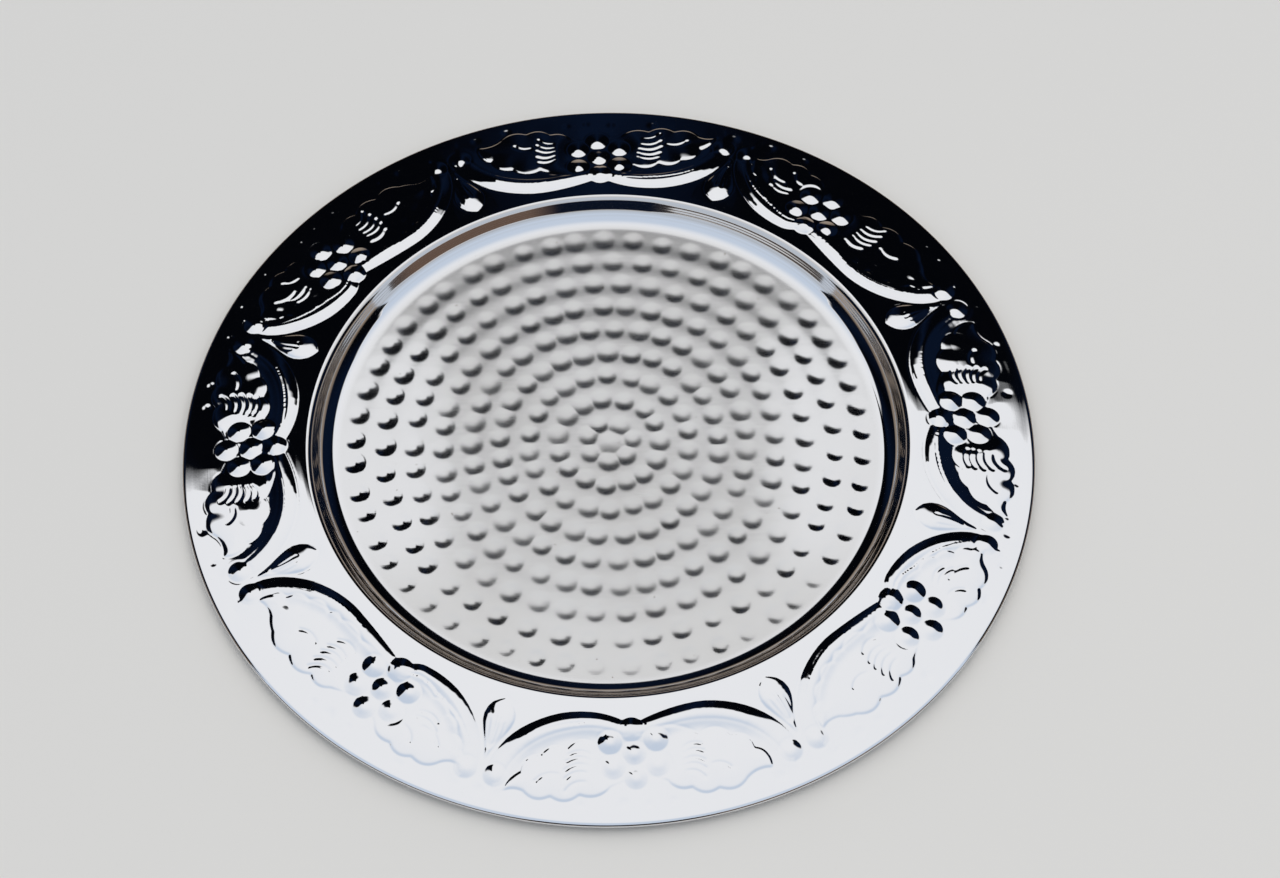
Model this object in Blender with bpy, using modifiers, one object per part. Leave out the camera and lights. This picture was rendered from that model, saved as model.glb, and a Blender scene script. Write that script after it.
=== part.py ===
"""Offering plate: a pressed steel dish with a grape-and-vine border and a wired, rolled edge.

World frame in metres, +Z up.  The origin is the middle of the flat underside that the plate stands
on, and +Z is the plate's axis.  Two pieces: the pressed sheet, and the wire inside its rolled edge.
"""

import math

import bpy
from mathutils import Vector

MM = 0.001

# ---- driving dimensions (millimetres) ----
PLATE_R = 165.0            # outermost reach of the rolled edge
SHEET_T = 0.6              # sheet thickness
FLOOR_R = 105.0            # flat floor of the well
WELL_DEPTH = 8.25          # floor to the crest of the shoulder, both on the upper face
WALL_SLOPE = 58.0          # degrees from the horizontal
FILLET_R = 9.4             # upper face, floor to wall
SHOULDER_R = 2.6           # upper face, wall to rim
RIM_FALL = 3.6             # how far the rim drops from its crest to the rolled edge
WIRE_R = 0.5
FREE_GAP = 0.3             # between the wire and the curl around it
CURL_WRAP = 285.0          # degrees that the sheet turns round the wire

# ---- raised fruit, as fractions of PLATE_R and in degrees ----
UNIT_COUNT = 8
UNIT_PITCH = 360.0 / UNIT_COUNT
FIRST_PAIR_ANGLE = 25.0    # the first pair of ribbon balls
BALL_RING = 0.918
BALL_SPREAD = 1.95         # half the angle between the two balls of a pair
CLUSTER_RING = 0.838
CLUSTER_SHIFT = (3.6, -1.0)     # the cluster's offset from mid-unit, in alternate units
GRAPES_AROUND = 6          # round the middle grape of a cluster
GRAPE_SPACING = 8.9
GRAPE_R = 4.1              # footprint
GRAPE_H = 1.5
BALL_R = 4.1
BALL_H = 1.0

# ---- fineness ----
TURN_STEPS = 64
FILLET_STEPS = 4
SHOULDER_STEPS = 3         # upper face
SHOULDER_STEPS_UNDER = 2
CURL_STEPS_OUT = 10
CURL_STEPS_IN = 8
DOME_STEPS = 7
DOME_RINGS = 2
WIRE_SIDES = 8
MERGE = 0.00001

CURL_IN = WIRE_R + FREE_GAP
CURL_OUT = CURL_IN + SHEET_T
CURL_X = PLATE_R - CURL_OUT


def arc(cx, cz, radius, start, end, steps):
    """Points on an arc in the profile plane, angles in degrees from +X, ends included."""
    points = []
    for i in range(steps + 1):
        a = math.radians(start + (end - start) * i / steps)
        points.append((cx + radius * math.cos(a), cz + radius * math.sin(a)))
    return points


def wall_run_length():
    """Length of the straight stretch of the wall that makes up the well's depth."""
    slope = math.radians(WALL_SLOPE)
    turned = (FILLET_R + SHOULDER_R) * (1.0 - math.cos(slope))
    return (WELL_DEPTH - turned) / math.sin(slope)


def shoulder_centre():
    """Centre of the shoulder's arc, in the profile plane."""
    slope = math.radians(WALL_SLOPE)
    run = (FILLET_R + SHOULDER_R) * math.sin(slope) + wall_run_length() * math.cos(slope)
    return FLOOR_R + run, SHEET_T + WELL_DEPTH - SHOULDER_R


def rim_slope():
    """Fall of the rim in degrees, from the shoulder's crest to the top of the rolled edge."""
    return math.degrees(math.atan2(RIM_FALL, CURL_X - shoulder_centre()[0]))


def rim_top(radius):
    """Height of the rim's plain upper face at a radius."""
    sx, sz = shoulder_centre()
    slope = math.radians(rim_slope())
    return sz + SHOULDER_R / math.cos(slope) - (radius - sx) * math.tan(slope)


def curl_centre_z():
    slope = math.radians(rim_slope())
    return rim_top(CURL_X) - CURL_OUT / math.cos(slope)


def face_profile(offset, steps_shoulder):
    """Floor edge to shoulder on a face that lies offset below the upper one."""
    fillet = arc(FLOOR_R, SHEET_T + FILLET_R, FILLET_R + offset,
                 -90.0, -90.0 + WALL_SLOPE, FILLET_STEPS)
    sx, sz = shoulder_centre()
    shoulder = arc(sx, sz, SHOULDER_R - offset,
                   90.0 + WALL_SLOPE, 90.0 - rim_slope(), steps_shoulder)
    return fillet + shoulder


def sheet_profile():
    """Closed section of the sheet from the axis, over the upper face and back along the lower."""
    cz = curl_centre_z()
    top = 90.0 - rim_slope()
    upper = [(0.0, SHEET_T)] + face_profile(0.0, SHOULDER_STEPS)
    curl_outside = arc(CURL_X, cz, CURL_OUT, top, top - CURL_WRAP, CURL_STEPS_OUT)
    curl_inside = arc(CURL_X, cz, CURL_IN, top - CURL_WRAP, top, CURL_STEPS_IN)
    lower = list(reversed(face_profile(SHEET_T, SHOULDER_STEPS_UNDER))) + [(0.0, 0.0)]
    return upper + curl_outside + curl_inside + lower


def mesh_object(name, vertices, edges, faces, collection):
    mesh = bpy.data.meshes.new(name)
    mesh.from_pydata(vertices, edges, faces)
    obj = bpy.data.objects.new(name, mesh)
    collection.objects.link(obj)
    return obj


def turned(name, profile, collection):
    """A profile in millimetres at +X, turned once round the Z axis."""
    points = [(x * MM, 0.0, z * MM) for x, z in profile]
    edges = [(i, i + 1) for i in range(len(points) - 1)]
    obj = mesh_object(name, points, edges, [], collection)
    screw = obj.modifiers.new("turn", "SCREW")
    screw.axis = "Z"
    screw.angle = math.tau
    screw.steps = TURN_STEPS
    screw.render_steps = TURN_STEPS
    screw.use_merge_vertices = True
    screw.merge_threshold = MERGE
    screw.use_smooth_shade = True
    return obj


def place(radius, degrees):
    """A point on the rim's upper face and the rim's unit normal there, in millimetres."""
    a = math.radians(degrees)
    slope = math.radians(rim_slope())
    point = Vector((radius * math.cos(a), radius * math.sin(a), rim_top(radius)))
    normal = Vector((math.sin(slope) * math.cos(a), math.sin(slope) * math.sin(a), math.cos(slope)))
    return point, normal


def fruit_places():
    """Every raised dome as (point, normal, footprint radius, height)."""
    domes = []
    for unit in range(UNIT_COUNT):
        pair = FIRST_PAIR_ANGLE + unit * UNIT_PITCH
        for side in (-1, 1):
            point, normal = place(BALL_RING * PLATE_R, pair + side * BALL_SPREAD)
            domes.append((point, normal, BALL_R, BALL_H))
        middle = pair + UNIT_PITCH / 2 + CLUSTER_SHIFT[unit % 2]
        radius = CLUSTER_RING * PLATE_R
        domes.append((*place(radius, middle), GRAPE_R, GRAPE_H))
        for k in range(GRAPES_AROUND):
            a = math.radians(90.0 + 360.0 * k / GRAPES_AROUND)
            out = radius + GRAPE_SPACING * math.sin(a)
            turn = math.degrees(GRAPE_SPACING * math.cos(a) / out)
            domes.append((*place(out, middle + turn), GRAPE_R, GRAPE_H))
    return domes


def dome_mesh(footprint, height, base):
    """A cap above z = 0 with straight sides down to z = base, as points and faces."""
    points, faces = [], []
    levels = [(footprint, base)]
    for ring in range(DOME_RINGS):
        a = math.pi / 2 * ring / DOME_RINGS
        levels.append((footprint * math.cos(a), height * math.sin(a)))
    for radius, z in levels:
        for k in range(DOME_STEPS):
            t = math.tau * k / DOME_STEPS
            points.append((radius * math.cos(t), radius * math.sin(t), z))
    points.append((0.0, 0.0, height))
    for level in range(len(levels) - 1):
        for k in range(DOME_STEPS):
            a, b = level * DOME_STEPS + k, level * DOME_STEPS + (k + 1) % DOME_STEPS
            faces.append((a, b, b + DOME_STEPS, a + DOME_STEPS))
    last = (len(levels) - 1) * DOME_STEPS
    apex = len(points) - 1
    for k in range(DOME_STEPS):
        faces.append((last + k, last + (k + 1) % DOME_STEPS, apex))
    faces.append(tuple(reversed(range(DOME_STEPS))))
    return points, faces


def dome_set(name, shrink, base, lift, collection):
    """All domes as one cutter, smaller by shrink, shifted along the rim's normal by lift."""
    vertices, faces = [], []
    for point, normal, footprint, height in fruit_places():
        turn = Vector((0, 0, 1)).rotation_difference(normal)
        points, cells = dome_mesh(footprint - shrink, height, base)
        start = len(vertices)
        for p in points:
            q = point + turn @ (Vector(p) + Vector((0, 0, lift)))
            vertices.append(tuple(q * MM))
        faces += [tuple(start + i for i in cell) for cell in cells]
    obj = mesh_object(name, vertices, [], faces, collection)
    obj.display_type = "WIRE"
    obj.hide_render = True
    return obj


def metal(name, colour, roughness):
    material = bpy.data.materials.new(name)
    material.use_nodes = True
    shader = material.node_tree.nodes["Principled BSDF"]
    shader.inputs["Base Color"].default_value = (*colour, 1.0)
    shader.inputs["Metallic"].default_value = 1.0
    shader.inputs["Roughness"].default_value = roughness
    return material


def add_boolean(obj, cutter, operation):
    boolean = obj.modifiers.new(operation.lower(), "BOOLEAN")
    boolean.operation = operation
    boolean.solver = "EXACT"
    boolean.object = cutter


def make_sheet(parts, cutters):
    """The pressed dish: floor, wall, shoulder, rim with hollow raised fruit, and the open curl."""
    sheet = turned("plate_sheet", sheet_profile(), parts)
    raised = dome_set("fruit_outside", 0.0, -SHEET_T / 2, 0.0, cutters)
    hollow = dome_set("fruit_inside", SHEET_T, -SHEET_T, -SHEET_T, cutters)
    add_boolean(sheet, raised, "UNION")
    add_boolean(sheet, hollow, "DIFFERENCE")
    sheet.data.materials.append(metal("polished_steel", (0.80, 0.80, 0.82), 0.06))
    return sheet


def make_wire(parts):
    """The round wire that stiffens the rolled edge."""
    bpy.ops.mesh.primitive_torus_add(
        major_segments=TURN_STEPS, minor_segments=WIRE_SIDES,
        major_radius=CURL_X * MM, minor_radius=WIRE_R * MM,
        location=(0.0, 0.0, curl_centre_z() * MM))
    wire = bpy.context.object
    wire.name = "edge_wire"
    for collection in list(wire.users_collection):
        collection.objects.unlink(wire)
    parts.objects.link(wire)
    wire.data.shade_smooth()
    wire.data.materials.append(metal("drawn_steel_wire", (0.52, 0.52, 0.53), 0.4))
    return wire


def main():
    for obj in list(bpy.data.objects):
        bpy.data.objects.remove(obj, do_unlink=True)
    parts = bpy.data.collections.new("offering_plate")
    cutters = bpy.data.collections.new("cutters")
    for collection in (parts, cutters):
        bpy.context.scene.collection.children.link(collection)
    make_sheet(parts, cutters)
    make_wire(parts)


main()
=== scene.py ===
"""Looks of the offering plate: the pressed sheet with its embossed border and hammered well.

The CAD sheet is replaced by one dense mesh on the same section.  Working sizes are millimetres in
the CAD frame, and only the finished vertices are turned into metres.  The finishes, the studio
and the camera are in metres.
"""

import math

import bpy
import numpy as np
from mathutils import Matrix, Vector


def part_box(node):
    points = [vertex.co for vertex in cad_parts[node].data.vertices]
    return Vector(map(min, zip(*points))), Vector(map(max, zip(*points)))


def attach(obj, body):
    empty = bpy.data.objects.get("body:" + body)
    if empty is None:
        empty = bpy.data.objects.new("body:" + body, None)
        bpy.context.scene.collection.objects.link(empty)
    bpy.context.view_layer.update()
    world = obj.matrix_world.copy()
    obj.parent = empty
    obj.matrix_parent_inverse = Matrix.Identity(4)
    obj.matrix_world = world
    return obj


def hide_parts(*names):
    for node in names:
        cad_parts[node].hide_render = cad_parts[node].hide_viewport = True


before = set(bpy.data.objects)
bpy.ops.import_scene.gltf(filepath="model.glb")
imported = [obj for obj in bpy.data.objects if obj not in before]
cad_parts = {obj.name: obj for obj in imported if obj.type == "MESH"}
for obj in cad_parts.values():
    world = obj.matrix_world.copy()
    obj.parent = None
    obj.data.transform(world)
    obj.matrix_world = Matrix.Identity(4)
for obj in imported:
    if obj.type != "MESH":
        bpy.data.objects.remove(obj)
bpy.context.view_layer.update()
MM = 0.001

# ---- sizes from the frame, and the section that the CAD sheet is made to ----
_, SHEET_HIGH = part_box("plate_sheet")
WIRE_LOW, WIRE_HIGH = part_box("edge_wire")
PLATE_R = SHEET_HIGH.x / MM
TOP_LIMIT = SHEET_HIGH.z / MM
WIRE_R = (WIRE_HIGH.z - WIRE_LOW.z) / 2 / MM
CURL_X = WIRE_HIGH.x / MM - WIRE_R
CURL_Z = (WIRE_HIGH.z + WIRE_LOW.z) / 2 / MM
CURL_OUT = PLATE_R - CURL_X
SHEET_T = 0.6
CURL_IN = CURL_OUT - SHEET_T
CURL_WRAP = 285.0          # degrees that the curl turns
FLOOR_R = 105.0
WELL_DEPTH = 8.25
WALL_SLOPE = 58.0
FILLET_R = 9.4
SHOULDER_R = 2.6
RIM_FALL = 3.6

# ---- border pattern: angles in degrees, radii as fractions of PLATE_R, heights in mm ----
PAIR_ANGLES = (23.9, 68.6, 115.5, 160.5, 205.0, 251.4, 296.7, 341.3)   # where units meet
UNIT_PITCH = 45.0
CLUSTER_SHIFT = (4.1, -1.2)    # how far off mid-unit the grapes are, in alternate units
CLUSTER_RING = 0.837
GRAPE_SPACING = 9.5
GRAPE_R = 4.75
CLUSTER_JITTER = 0.2       # degrees
GRAPE_JITTER = 0.25
GRAPE_SIZES = (.96, 1.04)
GRAPE_LIFTS = (.88, 1.12)
# (direction from the middle grape, height, how much of a sharp-edged cap): the grapes nearest
# the well stand highest and are the roundest.
GRAPES = ((None, .74, .10), (90, .62, .10), (150, .64, .10), (30, .64, .10),
          (210, 1.20, .50), (330, 1.20, .50), (270, 1.22, .60))
FRUIT_BASE = 0.08          # level that a grape stands on, above the plain rim
BALL_ANGLE = 20.5
BALL_H = 0.60
BALL_RING = 0.916
BALL_R = 4.5
BALL_CAP = 0.1             # how much of a sharp-edged cap a ball is
RIBBON_H = 1.13
RIBBON_CREST = 0.15        # where across the ribbon its top is, -1 at the well side
RIBBON_FALL = 7.0          # how far beyond its top it runs out under the leaf
RIBBON_LOW_ANGLE = 8.0
RIBBON_LOW_RING = 0.760
RIBBON_END_ANGLE = 1.2     # how far beside the grapes' middle it ends
RIBBON_END_CLIMB = 0.020   # how much it climbs on the way there, as a fraction of PLATE_R
RIBBON_HOLLOW = (5.0, 0.93)    # a point on the hollow side of its curve: degrees, radius fraction
# Half width, and share of the full height, at shares of its length from the ball.
RIBBON_HALF = ((0, .15, .6, 1), (3.8, 4.2, 4.1, 3.0))
RIBBON_RISE = ((0, .16, .34, .78, .92, 1), (.3, .5, 1, 1.03, .85, .6))
RIBBON_LINE = (0.80, 0.5, 0.09)    # fine groove along it: where across, half width, depth

SCALLOP_STEPS = 9
# Leaf outlines: cusps between the scallops as (degrees from mid-unit, radius fraction, bulge of
# the scallop that follows, as a fraction of its chord).  Alternate units have their own pair.
LEAVES = (
    (   # long left leaf, then short right leaf
        ((3.0, .880, .0), (-1.6, .908, .20), (-5.1, .915, .20), (-9.4, .921, .20),
         (-13.8, .918, .05), (-16.0, .902, -.12), (-19.0, .906, .10), (-18.9, .872, .22),
         (-17.3, .849, .22), (-14.8, .810, .24), (-11.2, .791, .24), (-8.6, .781, .18),
         (-3.6, .783, .15), (3.0, .810, .0)),
        ((4.6, .890, .0), (6.4, .912, .18), (9.8, .934, .20), (13.3, .940, .20),
         (17.2, .925, -.14), (19.9, .919, .10), (19.0, .885, .20), (17.3, .855, .22),
         (15.2, .818, .22), (11.8, .797, .15), (5.0, .800, .0)),
    ),
    (   # left leaf, then right leaf
        ((-1.2, .890, .0), (-4.6, .912, .18), (-8.8, .933, .20), (-12.6, .942, .20),
         (-16.3, .938, -.12), (-18.9, .947, .10), (-17.3, .895, .22), (-14.9, .849, .22),
         (-11.2, .827, .22), (-7.0, .812, .0), (-1.2, .810, .0)),
        ((-1.2, .880, .0), (3.0, .906, .18), (6.1, .931, .20), (9.6, .945, .20), (13.6, .940, -.12),
         (17.2, .936, .10), (17.4, .900, .12), (16.2, .878, .22), (13.6, .833, .22),
         (9.0, .813, .16), (-1.2, .800, .0)),
    ),
)
# Vein strokes of each leaf: (degrees, radius) at the outer end, then at the grape end.
VEINS = (
    (
        (((-6.2, .906), (-3.6, .880)), ((-6.6, .884), (-3.4, .863)),
         ((-6.8, .862), (-3.4, .848)), ((-6.8, .843), (-3.4, .835)),
         ((-6.4, .818), (-3.0, .812)), ((-11.6, .866), (-8.4, .857))),
        (((12.1, .910), (10.2, .884)), ((15.8, .893), (12.6, .868)),
         ((14.6, .866), (11.0, .853)), ((14.2, .845), (11.0, .840))),
    ),
    (
        (((-10.6, .926), (-8.2, .903)), ((-10.9, .899), (-8.0, .882)),
         ((-11.1, .879), (-7.8, .866)), ((-11.0, .858), (-7.6, .852)),
         ((-10.8, .842), (-7.6, .839)), ((-14.9, .912), (-12.0, .890))),
        (((8.1, .914), (6.0, .892)), ((8.5, .895), (6.0, .878)),
         ((8.7, .876), (6.0, .866)), ((8.9, .854), (6.2, .850)),
         ((8.8, .836), (6.2, .838)), ((11.9, .906), (9.6, .888))),
    ),
)
VEIN_DEPTH = 0.30          # at the outer end
VEIN_LOSS = 0.14           # how much shallower it is at the grape end
VEIN_HALF = 0.65
VEIN_SAG = 0.16            # how far it bows, as a share of its run
LEAF_EDGE = 0.27           # height of the steep outer edge of a leaf
LEAF_EDGE_SOFT = 0.28      # over what width that edge rises
LEAF_EDGE_LEAST = 0.35     # share of it that is left on the side towards the well
LEAF_MID_RING = 0.872      # where that share is half way, and over what width it changes
LEAF_MID_WIDTH = 0.10
LEAF_ROLL = 6.0            # over what width the soft edge rolls up to the crown
LEAF_CROWN = 0.46          # how much a leaf rises from its edge to its middle
# Where a leaf starts to rise from the grapes, over what width, from what share of its height.
LEAF_SINK = (12.0, 7.0, 0.22)
CREASE_DEPTH = 0.08        # fine line round every shape
CREASE_HALF = 0.5
HALO_DEPTH = 0.06          # dip of the rim round the pressed shapes
HALO_WIDTH = 4.5
# Half-width of the bud leaf in degrees along its length.
BUD_RINGS = (.735, .742, .752, .768, .785, .802, .822, .842, .862, .886)
BUD_HALF = (.0, .95, 1.85, 2.45, 2.60, 2.35, 1.75, 1.10, .55, .10)
BUD_TOP_RING = 0.797
BUD_H = 1.2
BUD_EDGE = 0.12            # height of its sharp edge
BUD_EDGE_SOFT = 0.3
BUD_SIDE = 3.2             # over what width its sides rise
BUD_TAIL = 0.55            # share of its height that is lost towards the point
# Veins of the bud: (degrees off its middle line, first ring, last ring, depth).
BUD_VEINS = ((-1.3, .796, .850, .13), (-.45, .786, .856, .17), (.4, .788, .856, .17),
             (1.2, .798, .850, .13))
BUD_VEIN_HALF = 0.55
# Small round dents in the plain rim beyond the notches: (degrees from mid-unit, radius fraction).
DENTS = (((-19.5, .957), (-15.5, .955), (-12.0, .957), (-2.5, .955), (1.0, .953), (4.5, .950),
          (12.0, .965), (18.0, .965)),
         ((-21.5, .956), (-13.0, .957), (-9.0, .955), (-3.0, .950), (.5, .955), (3.5, .953),
          (12.0, .965), (17.5, .962)))
DENT_R = 2.4
DENT_DEPTH = 0.12
DENT_SIZES = (.7, 1.45)
DENT_JITTER = 0.5          # degrees
DENT_MISSING = 0.3         # share of them that was never struck
UNIT_REACH = 25.5          # degrees each side of its middle that a unit is worked out over
BUD_REACH = 4.0
RELIEF_BLUR = 0.65         # in steps of the rim's mesh
RIM_WAVES = (0.035, 60, 22, 14)    # size, longest, shortest and number of the rim's ripples
RIM_FADE = 4.0             # over what width the relief fades at both edges of the rim
TOP_CLEARANCE = 0.02       # what the relief stays below TOP_LIMIT

# ---- hammered well ----
DIMPLE_RING_STEP = 0.0685      # fractions of PLATE_R
DIMPLE_RING_FIRST = 0.0525
DIMPLE_COUNTS = (7, 15, 22, 29, 35, 40, 42, 47, 53)
DIMPLE_STARTS = (10, 0, 8, 3, 5, 2, -171.5, -172.3, -175.0)    # degrees of each ring's first mark
DIMPLE_DEPTH = 0.42
DIMPLE_R = 4.7
DIMPLE_DEPTHS = (.8, 1.12)     # least and most, as shares of these two
DIMPLE_SIZES = (.9, 1.08)
DIMPLE_CENTRE = (0.6, -1.0, 1.3, 1.1)   # middle mark: x, y, shares of DIMPLE_R and DIMPLE_DEPTH
DIMPLE_SPREAD = 0.1        # how far a mark strays, as a share of the gap to the next
DIMPLE_STRAY = 0.45        # and inwards or outwards
NORTH_SOFTER = 0.25        # how much shallower the marks are at the +Y end
SOFTER_LEAST = -0.4        # how far that trend goes on towards -Y, where they are deeper
RING_GROOVE = 0.10         # the rings of dimples also lie in shallow grooves
FLOOR_SWELL = 0.16         # the hammered floor stands a little proud of the plain one
SWELL_FADE = 14.0          # over what width it comes down to the plain floor's edge
FLOOR_RIPPLE = 0.012       # size of the floor's ripples of middle length
FLOOR_WAVES = (28, 70)     # shortest and longest ripple
FLOOR_WAVE_COUNT = 9
FLOOR_WAVE_MIDDLE = 50
TURNED_RIDGE = 0.012       # turned polishing lines on the wall
TURNED_FROM = 22.0         # slope of the fillet, in degrees, where they start
TURNED_FULL = 12.0         # how many degrees further on they are full

# ---- mesh: columns round the plate, and steps along its section in mm ----
RIM_COLUMNS = 2160
COARSE_COLUMNS = RIM_COLUMNS // 3
# Inside each radius a ring of the well has this share of the rim's columns.
WELL_COLUMNS = ((7.0, 24), (18.0, 12), (40.0, 6))
RIM_STEP = 0.42
FLOOR_STEP = 0.8
WALL_STEP = 0.35
UNDER_STEPS = (1.6, 1.0, 8)    # the underside's floor step, rim step and steps in the fillet
FILLET_STEPS = 28
CURL_STEPS = 22
CURL_INNER_STEPS = 14
WIRE_COLUMNS = 360
WIRE_SIDES = 16

rng = np.random.default_rng(12)


# ---------------------------------------------------------------- section of the sheet
def rim_slope():
    """Fall of the rim in radians, from the shoulder's crest to the rolled edge."""
    return math.atan2(RIM_FALL, CURL_X - shoulder_centre()[0])


def shoulder_centre():
    slope = math.radians(WALL_SLOPE)
    turned = (FILLET_R + SHOULDER_R) * (1 - math.cos(slope))
    straight = (WELL_DEPTH - turned) / math.sin(slope)
    run = (FILLET_R + SHOULDER_R) * math.sin(slope) + straight * math.cos(slope)
    return FLOOR_R + run, SHEET_T + WELL_DEPTH - SHOULDER_R


def arc_stations(cx, cz, radius, start, end, steps, outward=1.0):
    """(r, z, normal r, normal z) along an arc, angles in degrees."""
    angles = np.radians(np.linspace(start, end, steps + 1))
    n = np.stack([np.cos(angles), np.sin(angles)], 1)
    points = np.array([cx, cz]) + radius * n
    return np.hstack([points, n * outward])


def line_stations(a, b, step):
    """Stations from just after a to just before b, with the normal on the left of the way."""
    a, b = np.array(a, float), np.array(b, float)
    length = np.linalg.norm(b - a)
    count = max(2, int(round(length / step)))
    t = np.arange(1, count) / count
    direction = (b - a) / length
    normal = np.array([-direction[1], direction[0]])
    points = a + t[:, None] * (b - a)
    return np.hstack([points, np.tile(normal, (len(t), 1))])


def well_columns(radius):
    """How many columns a ring of the well has at a radius."""
    for limit, share in WELL_COLUMNS:
        if radius < limit:
            return RIM_COLUMNS // share
    return COARSE_COLUMNS


def upper_face(offset, floor_step, rim_step, arc_steps):
    """Stations of one face from the axis to the curl, offset below the upper face."""
    sx, sz = shoulder_centre()
    fall = math.degrees(rim_slope())
    fillet = arc_stations(FLOOR_R, SHEET_T + FILLET_R, FILLET_R + offset,
                          -90, -90 + WALL_SLOPE, arc_steps, -1.0)
    shoulder = arc_stations(sx, sz, SHOULDER_R - offset,
                            90 + WALL_SLOPE, 90 - fall, arc_steps // 2)
    curl_top = arc_stations(CURL_X, CURL_Z, CURL_OUT - offset, 90 - fall, 90 - fall, 0)
    floor = line_stations((0.0, SHEET_T - offset), fillet[0, :2], floor_step)
    wall = line_stations(fillet[-1, :2], shoulder[0, :2], WALL_STEP)
    rim = line_stations(shoulder[-1, :2], curl_top[0, :2], rim_step)
    return floor, np.vstack([fillet, wall, shoulder]), rim


# ---------------------------------------------------------------- border relief
def local_xy(degrees, ring):
    """Flat millimetre coordinates about a unit's middle line, y outwards."""
    a = np.radians(degrees)
    return ring * PLATE_R * np.sin(a), ring * PLATE_R * np.cos(a)


def polyline_distance(x, y, px, py):
    """Distance from each point to a polyline, and how far along it the nearest point is, 0 to 1."""
    best = np.full(x.shape, 1e9)
    along = np.zeros(x.shape)
    lengths = np.hypot(np.diff(px), np.diff(py))
    total = lengths.sum()
    start = 0.0
    for i, length in enumerate(lengths):
        dx, dy = px[i + 1] - px[i], py[i + 1] - py[i]
        t = np.clip(((x - px[i]) * dx + (y - py[i]) * dy) / (length * length), 0, 1)
        d = np.hypot(x - px[i] - t * dx, y - py[i] - t * dy)
        nearer = d < best
        best = np.where(nearer, d, best)
        along = np.where(nearer, (start + t * length) / total, along)
        start += length
    return best, along


def inside(x, y, px, py):
    """Whether each point lies in the closed outline."""
    hit = np.zeros(x.shape, bool)
    for i in range(len(px)):
        x0, y0, x1, y1 = px[i - 1], py[i - 1], px[i], py[i]
        if y0 != y1:
            crosses = (y0 > y) != (y1 > y)
            hit ^= crosses & (x < (x1 - x0) * (y - y0) / (y1 - y0) + x0)
    return hit


def fruit(x, y, cx, cy, radius, height, capped):
    """A round fruit, between a soft swelling and a spherical cap, and the distance outside it."""
    d = np.hypot(x - cx, y - cy)
    t = np.minimum(d / radius, 1.0)
    swelling = 0.5 + 0.5 * np.cos(math.pi * t)
    ball = (radius * radius + height * height) / (2 * height)
    cap = (np.sqrt(ball * ball - (t * radius) ** 2) - (ball - height)) / height
    return height * (capped * cap + (1 - capped) * swelling), d - radius


def scalloped(cusps):
    """The leaf outline through its cusps, each side a bulging arc, in local millimetres."""
    px, py = [], []
    xs, ys = local_xy(np.array([c[0] for c in cusps]), np.array([c[1] for c in cusps]))
    turn = 1.0 if cusps[0][0] > cusps[len(cusps) // 2][0] else -1.0
    for i, (_, _, bulge) in enumerate(cusps):
        j = (i + 1) % len(cusps)
        dx, dy = xs[j] - xs[i], ys[j] - ys[i]
        for t in np.arange(SCALLOP_STEPS) / SCALLOP_STEPS:
            lift = 4 * bulge * t * (1 - t) * turn
            px.append(xs[i] + dx * t + dy * lift)
            py.append(ys[i] + dy * t - dx * lift)
    return np.array(px), np.array(py)


def leaf(x, y, cusps, veins, gx, gy):
    """Height of a vine leaf, and the distance outside it; it sinks towards the grapes at gx, gy."""
    px, py = scalloped(cusps)
    d, _ = polyline_distance(x, y, np.append(px, px[0]), np.append(py, py[0]))
    within = inside(x, y, px, py)
    off_middle = np.hypot(x, y) / PLATE_R - LEAF_MID_RING
    outer_side = np.clip(off_middle / LEAF_MID_WIDTH + 0.5, 0.0, 1.0)
    edge = LEAF_EDGE * np.maximum(outer_side, LEAF_EDGE_LEAST)
    body = edge * (1 - np.exp(-d / LEAF_EDGE_SOFT)) + LEAF_CROWN * np.tanh(d / LEAF_ROLL)
    sink_from, sink_width, sunk = LEAF_SINK
    clear = np.clip((np.hypot(x - gx, y - gy) - sink_from) / sink_width, 0.0, 1.0)
    body = body * (sunk + (1 - sunk) * clear * clear * (3 - 2 * clear))
    for outer, inner in veins:
        (ox, oy), (ix, iy) = local_xy(*outer), local_xy(*inner)
        t = np.linspace(0, 1, 7)
        sag = VEIN_SAG * 4 * t * (1 - t)
        bx = ox + (ix - ox) * t + (iy - oy) * sag * np.sign(ix - ox)
        by = oy + (iy - oy) * t - abs(ix - ox) * sag
        dv, s = polyline_distance(x, y, bx, by)
        body = body - (VEIN_DEPTH - VEIN_LOSS * s) * np.exp(-(dv / VEIN_HALF) ** 2)
    return np.where(within, np.maximum(body, 0.0), 0.0), np.where(within, -d, d)


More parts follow.
